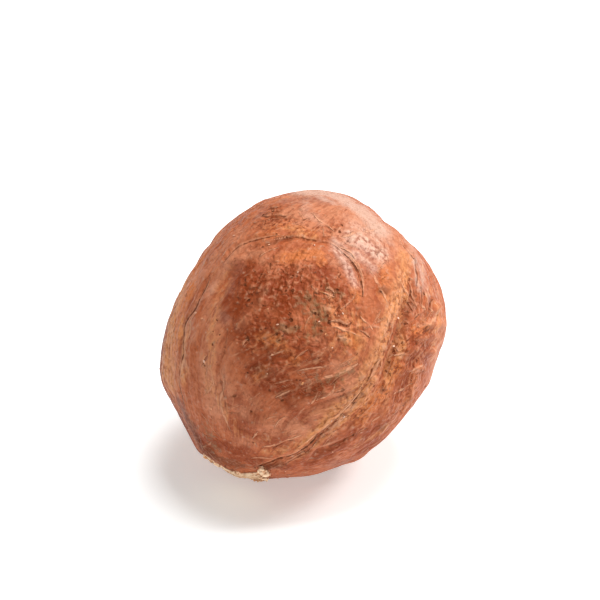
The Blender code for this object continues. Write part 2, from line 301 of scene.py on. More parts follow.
# Pale threads of fibre that stand proud: the half width and places of each.
THREADS = (
    # Beside the long folds.
    (0.101, -33, 85, -33.5, 78, -33.5, 70, -33, 63, -33, 57, -32, 50, -31, 44),
    (0.093, -36.2, 84, -36, 77, -36.5, 70, -36, 62, -36, 54, -38, 46),
    (0.078, 6, 127, 0, 127.5, -4, 126, -8, 123.5, -12, 119), (0.07, 49.5, 75, 51, 71, 50, 66, 50.5, 61, 50, 55),
    (0.078, 22, 57, 20.5, 51, 20, 46, 17, 42, 13, 38, 7, 33), (0.062, 31, 58, 28, 54, 26, 50),
    (0.085, -9, 95, -11.5, 96, -14, 96.3, -16, 97, -21.5, 97.5), (0.07, 1.5, 105, -1.5, 105.3, -4.5, 106),
    (0.078, -15, 35, -19.5, 40, -23, 45, -27, 51),
    # The long pale line right of the domed cheek.
    (0.101, -11.5, 125, -16, 122.5, -19.5, 121, -22, 119, -24.5, 117, -27, 114),
    # On the cheek.
    (0.07, -16.5, 105, -19.5, 103.7, -22, 103.4, -25.5, 102), (0.07, 6.5, 105, 4, 104, 2, 103),
    (0.07, -4, 59, -6, 62, -8.5, 66), (0.07, -11, 67.5, -13, 70.5, -15.5, 75),
    (0.062, -19.2, 64, -18.7, 67, -18, 71), (0.07, -19.5, 66.5, -22, 70.5, -23.2, 73.5, -22.3, 77),
    (0.078, -16, 75, -19, 78, -22.5, 80.5), (0.078, -20, 79, -22.5, 82, -24.2, 85, -26, 88.5),
    (0.054, -6, 73, -10.5, 77, -16, 81), (0.054, 7, 72.5, 4.5, 75.5, 2.5, 78),
    (0.054, -12.5, 47, -12, 51, -13.5, 55), (0.054, -6.5, 36, -6.5, 42),
    # On the right flank and shoulder.
    (0.093, -29, 127, -34.5, 126.3, -39.5, 125.7, -42.5, 124.8, -46.5, 122.5),
    (0.11, -37, 145, -41, 141.5, -41.7, 137, -41.5, 132), (0.11, -57, 149, -52.5, 141, -50, 135),
    (0.11, -47.5, 115.5, -51.5, 117, -56, 119, -60, 122, -68, 128.5), (0.078, -48, 126, -53.5, 123.5),
    (0.078, -53, 129, -58, 124), (0.093, -33.5, 99, -34, 94, -35, 89.5, -35, 84),
    (0.085, -28, 120, -29, 113, -30, 107.5, -30.7, 101),
    (0.078, -34, 125, -34.3, 118, -32.3, 111, -34.5, 106.5, -35.7, 100),
    (0.078, -42, 99.5, -45.5, 102, -49.5, 103.5), (0.078, -54, 97, -58, 101, -63, 104),
    (0.07, -52, 86, -57, 90, -61, 95),
    # At the top.
    (0.07, 31, 136.5, 23.5, 135, 18, 134, 12, 133), (0.062, 37.5, 134, 30, 131.5),
    (0.093, 8, 131, 4.5, 134.5, 2, 139),
)
# Small pits and loose pale scales: longitude, angle and radius in mm of each.
PITS = (
    (6.5, 89, 0.11), (8, 91, 0.08), (6.5, 85.5, 0.09), (3.5, 87.5, 0.09), (8.5, 81.5, 0.09), (-0.5, 96, 0.09),
    (-2, 96, 0.06), (-5, 97.5, 0.07), (4, 99.5, 0.08), (1, 99.5, 0.07), (-2.5, 93.5, 0.06), (-6, 91, 0.08),
    (-7, 96, 0.08), (31, 93, 0.1), (32, 94.5, 0.07), (25.5, 88, 0.08), (23.5, 87.5, 0.08), (19, 88.5, 0.07),
    (14, 98, 0.08), (11.5, 99.5, 0.09), (13, 109, 0.08), (15, 104.5, 0.09), (34.5, 110, 0.08),
    (-8.5, 111.5, 0.06), (-3.5, 108.5, 0.09), (10, 134, 0.08), (12, 138.5, 0.07), (34.5, 118.5, 0.07),
    (53, 132, 0.09), (51, 129, 0.08), (54, 125.5, 0.08), (41, 129, 0.08), (3.5, 131.5, 0.08), (35, 75, 0.06),
    (35, 70.5, 0.05), (33, 65.5, 0.09), (34, 62, 0.08), (31, 70.5, 0.06), (34.5, 56, 0.08),
    (13.5, 51.5, 0.07), (2.5, 48.5, 0.07), (-8.5, 35, 0.07), (-41.5, 119, 0.08), (-41.5, 113.5, 0.09),
    (-37.5, 104, 0.09), (-41, 101.5, 0.08), (-41.5, 96, 0.09), (-43, 92, 0.11), (-45, 85, 0.1),
    (-38.5, 84, 0.07), (-43.3, 106, 0.08), (-54.5, 117, 0.08), (-59.5, 95, 0.07), (-26.5, 76, 0.11),
    (-7.5, 59.7, 0.08), (-9, 70.7, 0.07), (-13.5, 68.2, 0.07), (-23.5, 91, 0.07), (-21.5, 118.5, 0.09),
    (-50.5, 62.5, 0.08), (18.3, 74.5, 0.13), (0, 61, 0.08), (12, 62.5, 0.06), (-50.5, 130.5, 0.08),
)
SCALES = (
    (49.5, 74, 0.11), (44, 73, 0.09), (35, 57.5, 0.13), (25, 40, 0.09), (57, 111, 0.08), (4, 66.5, 0.07),
    (-10.5, 70, 0.1), (10, 85, 0.08), (-10, 101.5, 0.08), (-40, 103, 0.1), (-3.5, 94, 0.07), (-8, 91, 0.07),
    (-36.5, 67, 0.09), (-33, 62.5, 0.09), (-53.5, 28.5, 0.08), (-50.5, 51.5, 0.07), (32.5, 112, 0.08),
    (15.5, 121.5, 0.07), (14, 107, 0.06), (16.5, 88.5, 0.06), (6, 74, 0.08), (-36, 114, 0.1), (-13, 88, 0.06),
)
# The side that those marks cover, as its middle and its radius in degrees, and the number and seed of the pits
# and scales on the rest, with their radii.
FRONT_PLACE, FRONT_SPREAD = (-5.0, 95.0), 80.0
BACK_PITS, BACK_SCALES, DOT_RADII = (110, 7), (40, 9), (0.05, 0.10)

# Wrinkles from tip to base: cells round the axis, lengths along it, and height, for the broad and fine ones.
WRINKLES = ((46.0, 5.0, 0.15), (104.0, 13.0, 0.045))
WRINKLE_MIDDLE = 0.28
WANDER_CELLS, WANDER_TURN = 2.3, 0.10
LUMP_CELLS, LUMP_HEIGHT = 5.5, 0.13
# The middle, radius, cells and height of each patch of knobs, and of the strokes across the right shoulder.
KNOBS = (((-56.0, 98.0), 24.0, 15.0, 0.11), ((5.0, 92.0), 26.0, 17.0, 0.05))
SHOULDER, SHOULDER_SPREAD, SHOULDER_CELLS, SHOULDER_HEIGHT = (-68.0, 108.0), 24.0, (3.0, 3.0, 16.0), 0.09
# Where the fibres run aslant, on the lower cheek and the right flank: the middle of each window, its radius,
# and degrees round per degree along.
SLANTS = (((-10.0, 70.0), 24.0, 0.93), ((-60.0, 112.0), 17.0, 1.7))

# The broken face: the way it looks, its distance from the middle, the rounding of its edge, and its roughness.
FACE_PLACE, FACE_DISTANCE, FACE_ROUNDING = (90.0, 6.0), 8.10, 0.06
FACE_ROUGHNESS, FACE_CELLS, FACE_STEEPEST = 0.09, 14.0, 0.2
# The part that is bare of skin: its middle and radius in degrees, how ragged its edge is, in waves round it and
# degrees, and the turn, spread and size of each place where the tear runs further out, or less far.
BARE_PLACE, BARE_RADIUS, BARE_RAGGED = (-112.0, 5.4), 12.0, ((2.5, 1.5), (7.0, 0.9), (19.0, 0.3))
BARE_LOBES = (
    (70.0, 12.0, 3.0), (-33.0, 14.0, 5.5), (-118.0, 24.0, -3.2), (150.0, 26.0, 2.8), (-72.0, 12.0, 1.5),
)
# How far in mm the flesh lies under the skin, the width of that step, and the cells and height of its grain.
BARE_DEPTH, BARE_STEP, BARE_GRAIN = 0.07, 0.06, ((46.0, 0.05), (100.0, 0.03))

LATTICE_SIDE, LATTICE_SEED = 64, 5
LATTICE = np.random.default_rng(LATTICE_SEED).uniform(-1, 1, (LATTICE_SIDE,) * 3)


def direction(longitude, angle):
    """The unit vector to a place on the kernel, from its middle."""
    lon, ang = np.radians(longitude), np.radians(angle)
    return np.stack([np.sin(ang) * np.cos(lon), np.sin(ang) * np.sin(lon), np.cos(ang)], axis=-1)


def apart(ways, longitude, angle):
    """The angle in degrees between each unit vector and a place."""
    return np.degrees(np.arccos(np.clip(ways @ direction(longitude, angle), -1, 1)))


def bell(off, spread, power=2):
    """One in the middle, and falling to nothing on both sides: e to minus (off / spread) squared, or
    to another power."""
    return np.exp(-((off / spread) ** power))


def unit(vectors):
    """Each vector divided by its length."""
    return vectors / np.linalg.norm(vectors, axis=1)[:, None]


def cloud(places):
    """Smooth noise from -1 to 1: random values at whole-numbered places, blended in between."""
    base = np.floor(places).astype(int)
    part = places - base
    part = part * part * (3 - 2 * part)
    total = np.zeros(len(places))
    for corner in itertools.product((0, 1), repeat=3):
        weight = np.prod(np.where(corner, part, 1 - part), axis=1)
        total += weight * LATTICE[tuple(((base + corner) % LATTICE_SIDE).T)]
    return total


def swollen(ways):
    """The distance in mm from the middle to the plain body: an ellipsoid, with a bell for each swelling."""
    reach = 1 / np.linalg.norm(ways / (np.array([DEPTH, BREADTH, LENGTH]) / 2), axis=1)
    for longitude, angle, spread, height in SWELLINGS:
        reach = reach + height * bell(apart(ways, longitude, angle), spread)
    return reach


def smooth_path(places, steps=6):
    """Unit vectors along a smooth curve through a few places, which are given as longitude, angle, longitude,
    angle and so on. Each stretch is a cubic (Catmull-Rom)."""
    knots = direction(*np.reshape(places, (-1, 2)).T.astype(float))
    knots = np.vstack([2 * knots[0] - knots[1], knots, 2 * knots[-1] - knots[-2]])
    t = np.linspace(0, 1, steps, endpoint=False)[:, None]
    bends = [
        b + t / 2 * (c - a + t * (2 * a - 5 * b + 4 * c - d + t * (3 * b - a - 3 * c + d)))
        for a, b, c, d in zip(knots, knots[1:], knots[2:], knots[3:])
    ]
    return unit(np.vstack(bends + [knots[-2]]))


def beside(ways, places, margin=14.0, far=9.0):
    """For each unit vector, its distance in mm from the path through the places, with a sign for its side, and
    how far along the path that is, 0 to 1. Vectors further off than the margin in degrees are just far."""
    path = smooth_path(places)
    middle = path.mean(axis=0) / np.linalg.norm(path.mean(axis=0))
    radius = np.arccos(np.clip(path @ middle, -1, 1)).max() + math.radians(margin)
    close = np.flatnonzero(ways @ middle > math.cos(min(radius, math.pi)))
    start, step = path[:-1], np.diff(path, axis=0)
    near_ways = ways[close]
    share = near_ways @ step.T - np.einsum("sk,sk->s", start, step)
    share = np.clip(share / np.einsum("sk,sk->s", step, step), 0, 1)
    gap = np.linalg.norm(near_ways[:, None] - start - share[..., None] * step, axis=2)
    nearest = gap.argmin(axis=1)
    rows = np.arange(len(close))
    side = np.sign(np.einsum("nk,nk->n", near_ways, np.cross(start, path[1:])[nearest]))
    off, along = np.full(len(ways), far), np.zeros(len(ways))
    off[close] = gap[rows, nearest] * np.where(side < 0, -1, 1) * LENGTH / 2
    along[close] = (nearest + share[rows, nearest]) / len(step)
    return off, along


def faded(along, quickness):
    """One along the middle of a path, and falling to nought at both its ends."""
    return np.clip(quickness * along, 0, 1) * np.clip(quickness * (1 - along), 0, 1)


def back_places(chance, share, shortest, longest):
    """Places from tip to base on the side turned away, at a share of the way round it, with a seeded wander
    and a length in degrees between two bounds."""
    length = chance.uniform(shortest, longest)
    first = chance.uniform(BACK_ANGLES[0], BACK_ANGLES[1] - length)
    wander = np.cumsum(chance.uniform(-BACK_WANDER, BACK_WANDER, BACK_KNOTS))
    start, end = BACK_LONGITUDES
    longitudes = start + (end - start) * share + wander
    return np.column_stack([longitudes, np.linspace(first, first + length, BACK_KNOTS)]).ravel()


def back_folds():
    """The seeded folds, one in each equal share of the side turned away."""
    chance = np.random.default_rng(BACK_SEED)
    for share in (np.arange(BACK_FOLDS) + chance.uniform(0.1, 0.9, BACK_FOLDS)) / BACK_FOLDS:
        shade, deeper = chance.uniform(*BACK_SHADES), chance.uniform(*BACK_DEPTHS)
        line, valley, depth, lip = BACK_FOLD
        yield shade, line, valley, depth * deeper, lip * deeper, *back_places(chance, share, *BACK_LENGTHS)


def short_lines(number, shortest, longest, half_width, shade, seed):
    """Seeded short lines, each along the fibres of its place, give or take a little, and slightly bent."""
    chance = np.random.default_rng(seed)
    middles = unit(chance.normal(size=(number, 3)))
    run = sum(slant * bell(apart(middles, *middle), spread) for middle, spread, slant in SLANTS)
    for way, slant in zip(middles, run):
        longitude, angle = math.degrees(math.atan2(way[1], way[0])), math.degrees(math.acos(way[2]))
        step = np.linspace(-0.5, 0.5, 4) * chance.uniform(shortest, longest)
        aside = LEAN * chance.normal() * step + BEND * chance.normal() * step**2
        aside = aside / max(way[0] ** 2 + way[1] ** 2, 0.1)
        angles = np.clip(angle + step, POLE_MARGIN, 180 - POLE_MARGIN)
        places = np.column_stack([longitude - slant * step + aside, angles]).ravel()
        yield shade * chance.uniform(0.5, 1.0), half_width * chance.uniform(0.6, 1.2), *places


ALL_FOLDS = FOLDS + tuple(back_folds())


def folded(ways):
    """The height in mm of the folds: each is a bell-shaped valley with a lower bell on both sides."""
    height = np.zeros(len(ways))
    for _, _, half_width, depth, lip, *places in ALL_FOLDS:
        off, along = beside(ways, places)
        shape = -depth * bell(off, half_width)
        shape += lip * bell(np.abs(off) / half_width - LIP_OFFSET, 1)
        height += faded(along, FOLD_ENDS) * shape
    return height


def off_lines(ways, lines, far=20.0):
    """The signed distance from the nearest of some lines, in half widths of that line, and the shade of that
    line. Each is its shade, its half width and its places, and it grows thinner to nothing at its ends."""
    nearest, shades = np.full(len(ways), far), np.zeros(len(ways))
    for shade, half_width, *places in lines:
        off, along = beside(ways, places)
        scaled = off / half_width / np.maximum(faded(along, LINE_ENDS) ** LINE_BLUNT, 0.02)
        nearer = np.abs(scaled) < np.abs(nearest)
        nearest, shades = np.where(nearer, scaled, nearest), np.where(nearer, shade, shades)
    return np.clip(nearest, -far, far), shades


def turned(ways):
    """The longitude in radians that the fibres keep to: it wanders a little, and turns aslant in two places."""
    angle = np.arccos(np.clip(ways[:, 2], -1, 1))
    around = np.arctan2(ways[:, 1], ways[:, 0]) + WANDER_TURN * cloud(ways * WANDER_CELLS)
    for middle, spread, slant in SLANTS:
        around += slant * bell(apart(ways, *middle), spread) * (angle - math.radians(middle[1]))
    return around


def round_places(turns, radius, level):
    """Places on a circle of that radius, at those turns in radians and that level."""
    return np.column_stack([radius * np.cos(turns), radius * np.sin(turns), level + 0 * turns])


def wrinkled(ways):
    """The height in mm of the wrinkles: rounded pads with sharp furrows between, which are noise without its
    sign, drawn out from tip to base, over lumps with no direction, strokes across the right shoulder, and
    small knobs on the right flank and on the cheek."""
    angle, around = np.arccos(np.clip(ways[:, 2], -1, 1)), turned(ways)
    height = np.zeros(len(ways))
    for cells, lengths, tall in WRINKLES:
        drawn = cloud(round_places(around, cells / (2 * np.pi), angle * lengths / np.pi))
        height += tall * (np.abs(drawn) - WRINKLE_MIDDLE) * np.sin(angle)
    lumps = np.abs(cloud(ways * LUMP_CELLS)) - WRINKLE_MIDDLE
    near = bell(apart(ways, *SHOULDER), SHOULDER_SPREAD)
    across = cloud(np.column_stack([ways[:, :2], angle]) * SHOULDER_CELLS)
    for middle, spread, cells, tall in KNOBS:
        knobs = WRINKLE_MIDDLE - np.abs(cloud(ways * cells))
        height -= tall * knobs * bell(apart(ways, *middle), spread)
    return height + LUMP_HEIGHT * lumps + SHOULDER_HEIGHT * near * across


def smaller(a, b, rounding):
    """The smaller of two distances, with the corner between them rounded."""
    mix = np.clip(0.5 + (b - a) / (2 * rounding), 0, 1)
    return b + (a - b) * mix - rounding * mix * (1 - mix)


def skin_relief(ways):
    """The height in mm of the wrinkles, folds and ridges, pressed smooth where the kernel lies."""
    relief = wrinkled(ways) + folded(ways)
    for half_width, tall, *places in RIDGES:
        off, along = beside(ways, places)
        relief = relief + faded(along, RIDGE_ENDS) * tall * bell(off, half_width)
    return relief * (1 - bell(apart(ways, *REST_PLACE), REST_SMOOTH, 4))


def about(middle):
    """Two unit vectors square to a third one and to each other, so that the three are right-handed."""
    first = np.cross([0.0, 1.0, 0.0], middle)
    first /= np.linalg.norm(first)
    return first, np.cross(middle, first)


BARE_MIDDLE = direction(*BARE_PLACE)
BARE_AXES = about(BARE_MIDDLE)


def torn_edge(turns):
    """The angle in degrees from the middle of the bare flesh to the torn edge of the skin, at each turn about
    it: a circle with noise of three sizes round it, and a bell for each lobe."""
    edge = np.full(len(turns), BARE_RADIUS)
    for waves, size in BARE_RAGGED:
        edge = edge + size * cloud(round_places(turns, waves, waves))
    for turn, spread, size in BARE_LOBES:
        off = (np.degrees(turns) - turn + 180) % 360 - 180
        edge = edge + size * bell(off, spread)
    return edge


def bare(ways):
    """How far inside the torn edge each place is, in mm."""
    turns = np.arctan2(ways @ BARE_AXES[1], ways @ BARE_AXES[0])
    return np.radians(torn_edge(turns) - apart(ways, *BARE_PLACE)) * LENGTH / 2


def outside(ways):
    """The distance in mm from the middle to the outside: the smaller of the skin's, which is the plain body
    with its relief, and that of the rough plane of the broken face."""
    towards = np.maximum(ways @ direction(*FACE_PLACE), FACE_STEEPEST)
    face = (FACE_DISTANCE + FACE_ROUGHNESS * cloud(ways * FACE_CELLS)) / towards
    return smaller(swollen(ways) + skin_relief(ways), face, FACE_ROUNDING)


def reach(ways):
    """The same, with the bare flesh sunk a little below the skin, and rough where it broke."""
    sunk, depth = np.clip(bare(ways) / BARE_STEP + 0.5, 0, 1), BARE_DEPTH
    for cells, size in BARE_GRAIN:
        depth = depth - size * cloud(ways * cells)
    return outside(ways) - sunk * depth


POSE = np.array(
    Matrix.Rotation(math.radians(TIP_HEADING), 3, "Z")
    @ Matrix.Rotation(math.radians(90 + TIP_DIP), 3, "Y")
    @ Matrix.Rotation(math.radians(ROLL), 3, "Z")
)


def laid_down(places):
    """Places in mm about the kernel's own axis, turned to its pose, in metres, and none below the floor."""
    laid = (places @ POSE.T + np.array(BODY_MIDDLE)) * MM
    laid[:, 2] = np.maximum(laid[:, 2], 0.0)
    return laid


def ring_faces(rows, columns, closed=False):
    """Four-sided faces between rows of points. Each row is a closed ring, and so are the rows if closed."""
    rings = np.arange(rows * columns).reshape(rows, columns)
    if closed:
        rings = np.vstack([rings, rings[:1]])
    nexts = np.roll(rings, -1, axis=1)
    return np.stack([rings[:-1], rings[1:], nexts[1:], nexts[:-1]], axis=-1).reshape(-1, 4).tolist()


def capped_faces(rows, columns, start=0):
    """The same, closed by a pole before the first row and one after the last, which are the last two points."""
    faces = [tuple(start + corner for corner in face) for face in ring_faces(rows, columns)]
    first, last, end = start + rows * columns, start + rows * columns + 1, start + (rows - 1) * columns
    for one in range(columns):
        other = (one + 1) % columns
        faces += [(first, start + one, start + other), (last, end + other, end + one)]
    return faces


def new_piece(name, places, faces, material):
    """A smooth-shaded piece, its mesh in metres and its object at the origin."""
    mesh = bpy.data.meshes.new(name)
    mesh.from_pydata(places.tolist(), [], faces)
    mesh.shade_smooth()
    mesh.materials.append(material)
    piece = bpy.data.objects.new(name, mesh)
    bpy.context.scene.collection.objects.link(piece)
    return piece


def keep(piece, name, values):
    """Keeps a value or a vector at each point of a piece, for its finish."""
    kind, field = ("FLOAT_VECTOR", "vector") if values.ndim == 2 else ("FLOAT", "value")
    piece.data.attributes.new(name, kind, "POINT").data.foreach_set(field, values.astype(np.float32).ravel())


# Stains, each with its half width in mm, its strength, and the places that it runs through.
STAINS = {
    # Smooth, dusty and pinkish tan.
    "dusty": (
        (1.5, 0.9, 68, 44, 68, 56, 66, 70, 66, 82), (1, 0.8, 22, 40, 28, 50, 33, 61, 38, 80),
        (1.2, 0.6, -6, 36, -14, 46, -20, 54), (1.6, 1, 34, 145, 16, 147, -4, 148, -20, 146),
        (1, 0.8, 66, 135, 55, 144, 50, 154), (0.7, 0.7, 31, 130, 18, 132, 6, 132), (1, 0.6, 58, 112, 62, 100),
        (0.9, 0.8, -68, 136, -70, 124, -77, 113, -86, 104),
        (0.5, 0.8, 46, 106, 46.5, 96, 46, 83.5, 43, 74, 46, 64),
        (0.55, 1, 50, 52, 56, 61, 55.5, 70.5, 54.5, 78.5), (1.2, 0.9, -13, 86.5, -22.5, 83, -31.5, 83, -30, 77),
        (0.8, 1, 40, 133, 32.5, 134, 20, 136), (0.6, 0.8, 6, 45, 14, 52, 22, 57),
        (0.6, 0.6, 40.5, 107, 31, 105), (0.5, 0.6, 2.5, 52, 22, 59), (0.4, 0.8, 9, 61, 5, 63),
        (0.4, 0.8, 9, 118, 3, 118.5), (0.25, 0.9, 44, 97, 40.5, 102.5, 37, 105.5, 32.5, 108),
    ),
    # Light tan: the raised bands beside the long folds.
    "tan": (
        (0.6, 0.6, -14, 90, -20, 97, -25, 92, -25, 84),
        (0.6, 1, -32, 140, -31, 130, -30, 119, -29.5, 111, -31, 103, -31.5, 96, -31, 87),
        (0.8, 0.7, -34, 97, -35, 86, -38, 76), (0.6, 0.9, 49, 48, 51, 54, 54, 60, 58, 68),
        (0.5, 0.6, -4, 101, -11, 101.5, -18, 102), (0.5, 0.7, -59, 61, -63, 66, -66, 73),
        (0.4, 0.6, 33, 123, 25.5, 124, 18, 126), (0.45, 1, -31, 90, -32, 77, -31, 67, -31, 57, -31, 50),
        (0.35, 0.5, -31, 52, -30, 45, -27, 39, -18, 33), (0.28, 0.9, -37, 84, -37.5, 72, -37, 62),
        (0.28, 0.5, -37, 62, -37, 50, -39, 40), (0.6, 0.5, 44.5, 93, 43, 88, 39, 81, 35.5, 71, 32.5, 61),
        (0.5, 0.5, 39, 81, 35.5, 71, 32.5, 61, 28, 51, 19.5, 44),
        (0.45, 0.35, 19.5, 44, 7, 38, -4, 35, -14, 42, -19, 50),
        (0.12, 0.6, -9, 96, -12, 96.2, -16, 96.6, -21.5, 97.5), (0.1, 0.6, 2, 104.8, -4.5, 105.3),
        (0.4, 1, -38, 123, -39, 113, -43, 106, -45, 100), (0.45, 1, -40.5, 105, -40, 97.5, -44, 90),
        (0.35, 0.8, -34, 137, -36, 131), (0.35, 0.8, -40.5, 105, -41.5, 99),
        (0.28, 0.8, -34, 70, -34, 64, -33.5, 58), (0.35, 0.6, -48, 126, -53, 131, -60, 136),
        (0.45, 0.7, -62, 128, -66, 118, -72, 108), (1.1, 1, 72, 44, 72, 58, 76, 80),
    ),
    # Purplish grey. Left of the domed cheek, along the lower left side that faces the floor and beside the
    # scrap, it is painted shade.
    "mauve": (
        (0.6, 1, 38, 98, 37, 92, 35, 85, 32, 78), (0.8, 0.8, 54, 137, 46, 144, 36, 148),
        (0.6, 0.8, 56, 124, 60, 130), (0.4, 1, -38, 25, -40, 29, -44, 32),
        (0.8, 0.8, -66, 46, -80, 49, -92, 53), (0.7, 1, 60, 33, 56, 28, 53, 23, 48, 19, 42, 15.5, 34, 13.5),
    ),
    # Rough and deep reddish brown.
    "ruddy": (
        (1.3, 1, 32, 97, 27, 91, 18.5, 94, 12, 100), (0.7, 1, 34, 83.5, 23, 81.5, 19, 69.5, 13, 72),
        (0.6, 0.5, 8, 56, -2, 54), (0.6, 0.8, -10, 61, -19, 58.5), (0.6, 0.8, -22, 117, -20, 128),
        (0.5, 0.8, -57, 127, -59, 116), (0.6, 1, 20, 96, 13, 94.5, 9, 88), (1.5, 1, 17, 79, 10, 73, 3, 66),
        (1.2, 0.9, 1, 79, -9, 80, -12, 88), (0.9, 0.9, -3, 65, -12, 66, -19, 74),
        (0.7, 1, 9.5, 115, 4, 112, 0, 107.5), (0.9, 0.8, 6, 38, -6, 40, -18, 41),
        (0.6, 0.7, -45, 32, -51, 38, -57, 45), (0.6, 0.8, 2, 110, -4, 110.5, -10, 109),
        (0.5, 0.7, -62, 111, -64, 102), (0.5, 1, -46, 78, -46, 70), (0.6, 0.7, -42, 52, -44, 44, -46, 37),
        (0.35, 0.8, -17, 58, -21, 57), (0.5, 0.5, -55, 116.5, -59.5, 104), (0.6, 0.4, -44, 92, -44, 80),
        (0.8, 0.9, -45, 72, -48, 62, -50, 54, -48, 46), (0.9, 0.7, -48, 114, -52, 102, -54, 91),
        # The second mark below darkens the lower left side that faces the floor: painted shade.
        (1.3, 0.9, -60, 70, -70, 64, -84, 62), (1, 0.9, 34, 19, 12, 24, -4, 24, -18, 26),
        (0.9, 0.5, 0, 48, 12, 50),
    ),
    # Orange and yellowish orange.
    "warm": (
        (0.6, 1, 22, 111, 16, 115, 10, 117), (0.8, 1, 86, 112, 80.5, 108, 75, 95.5),
        (0.5, 0.4, 12, 144, 0, 146, -6, 143), (0.45, 0.9, -22, 94, -17, 95), (0.45, 1, -9, 114, -12, 110.5),
        (0.9, 1, 61.5, 56, 67, 70, 64, 82, 75, 95.5), (0.5, 0.7, 13, 78, 4, 79, -3, 77),
        (0.8, 0.35, -16, 86, -23.5, 83.5, -28, 78), (0.4, 0.6, 5, 68, 8, 62),
        (0.6, 1, -24, 119, -21, 126, -20, 132), (0.35, 0.9, -36, 114, -36, 122, -35, 130),
        (0.6, 0.7, -47, 114, -56, 118, -66, 126), (0.8, 1, -46, 96, -46, 83, -45, 72),
        (0.8, 0.7, -60, 100, -66, 92, -70, 84), (0.7, 0.6, -50, 70, -56, 78),
        (0.7, 0.4, 22, 134, 12, 136, 4, 133), (0.8, 0.6, 40, 118, 30, 124, 20, 128),
    ),
    # Dark red-brown.
    "dark": (
        (0.6, 0.6, 28, 92, 20, 96, 15, 93), (0.6, 0.6, 12, 66, 4, 68, 8, 74),
        (0.3, 1, 33, 112, 31, 116, 28, 120), (0.3, 0.8, 40, 129, 45, 126), (0.3, 0.9, 48, 131, 54, 132),
        (0.35, 0.7, -6, 60, -12, 66, -19, 71), (0.22, 0.6, -45, 84, -43, 91), (0.22, 0.6, -41, 109, -41, 121),
        (0.3, 0.7, -43, 124, -44, 132, -43.5, 143), (0.35, 0.9, -24, 119.5, -21.5, 119.5),
        (0.4, 0.5, -54, 124, -58, 128), (0.5, 0.5, -62, 82, -70, 90, -74, 98), (0.4, 0.8, -57, 71, -64, 72),
        # The second mark below darkens the lower left side that faces the floor: painted shade.
        (0.35, 0.7, -47.5, 42, -49, 46, -46, 50), (0.5, 1, 60, 33, 56, 28, 53, 23, 48, 19, 42, 15.5, 34, 13.5),
        # The first mark below, beside the scrap, is the scrap's painted shadow.
        (0.35, 1.3, -34, 25.5, -36.5, 28.5, -38.5, 32), (0.55, 1.2, 40, 15, 18, 13.5, 2, 14.5, -14, 17),
        (0.15, 0.8, -37.5, 129.5, -41, 126, -43.5, 122.5), (0.15, 0.8, -51.5, 132.5, -49, 124.5),
        (0.15, 0.8, -59, 130, -56, 126, -54, 122), (0.15, 0.8, -41, 122, -41.5, 115.5),
        (0.15, 0.8, -58.5, 119, -54.5, 114.5),
    ),
    # Pale, thin and papery skin, with a painted highlight over it.
    "pale": (
        (0.35, 0.7, -9, 115, -5.5, 118, 0, 122.5, 6, 124.5),
        (0.7, 0.85, -15, 134, -10, 134.5, -6, 135.5, 2, 135), (0.45, 0.5, -14, 126, -8, 128, -4, 128.5),
        (0.7, 0.55, -16, 137, -8, 142, 4, 141), (0.45, 0.25, -38, 145, -41.5, 139, -41.5, 132),
        (0.45, 0.25, -57, 148, -52, 140, -50, 135),
    ),
    # Pinkish cream, and smooth. Near the base it is partly a painted sheen.
    "cream": (
        (1, 0.85, 64, 150, 48, 156, 20.5, 157, -4, 152, -10, 150), (0.7, 0.35, 14, 146, 2, 146, -8, 144),
        (0.6, 0.4, -6, 150, -16, 146, -24, 143), (0.6, 0.32, 50, 52, 52, 62, 51, 72, 49, 80, 46, 88),
        (1, 0.15, -14, 86, -23, 84, -30, 90, -30, 78), (0.4, 0.7, 45, 150, 37, 149.5, 30, 150),
        (0.4, 0.55, 9, 128, 2, 127, -3, 127), (0.6, 0.4, 46, 143, 33, 136, 22, 134),
        (0.3, 0.6, -40, 142, -44, 135, -46, 130), (1, 0.45, -42, 150, -48, 143, -52, 134),
        (0.14, 0.38, -46.5, 129, -45, 122.5, -45, 119), (0.14, 0.38, -55, 130, -51, 123.5, -49, 116),
        (0.14, 0.38, -66.5, 128.5, -59, 122.5, -50, 115.5),
    ),
    # Crinkled most: the rest is smoother.
    "rough": (
        (1.5, 1, 22, 94, 12, 104, -2, 106, -8, 96), (1.3, 0.9, 16, 80, 4, 82, -8, 84),
        (1.1, 0.8, 10, 66, -4, 68, -16, 72), (1, 1, -43, 122, -43, 106, -45, 90, -45, 74),
        (1.3, 1, -54, 110, -58, 96, -62, 82), (1, 0.7, -50, 62, -56, 52, -60, 44),
        (0.7, 1, -32, 130, -32, 112, -33, 98, -34, 84, -34, 60), (0.8, 0.8, 44, 124, 30, 130, 12, 133),
        (0.5, 0.9, -30, 22, -40, 30),
    ),
    # Greenish grey, and pitted.
    "green": (
        (0.5, 1, 5, 99, 1, 99, -4, 96), (0.4, 0.9, -6, 92, -2, 93, -3, 88), (0.35, 0.6, 3, 87, 7, 85, 9, 84),
        (0.3, 0.5, 11, 84, 8, 80, 5, 80), (0.35, 0.8, -4, 108, 0, 107), (0.5, 0.6, -17, 74, -22, 79, -24, 84),
        (0.3, 0.3, 32, 64, 34, 72), (0.3, 0.8, -37.5, 111, -38, 107), (0.5, 0.6, 26, 27, 22, 19),
    ),
}
# The seeded stains on the side turned away: the shares of their half width and the lengths in degrees that they
# keep within, and how many there are of each kind, their half width in mm and their strength.
STAIN_SEED, STAIN_WIDTHS, STAIN_LENGTHS, STAIN_MARGIN = 60, (0.7, 1.3), (15, 55), 40.0
BACK_STAINS = {
    "dusty": (7, 1.3, 0.8), "tan": (9, 0.45, 0.8), "mauve": (3, 0.9, 0.7), "ruddy": (8, 1.2, 0.9),
    "warm": (6, 0.8, 0.8), "dark": (6, 0.35, 0.8), "rough": (8, 1.5, 1.0),
}


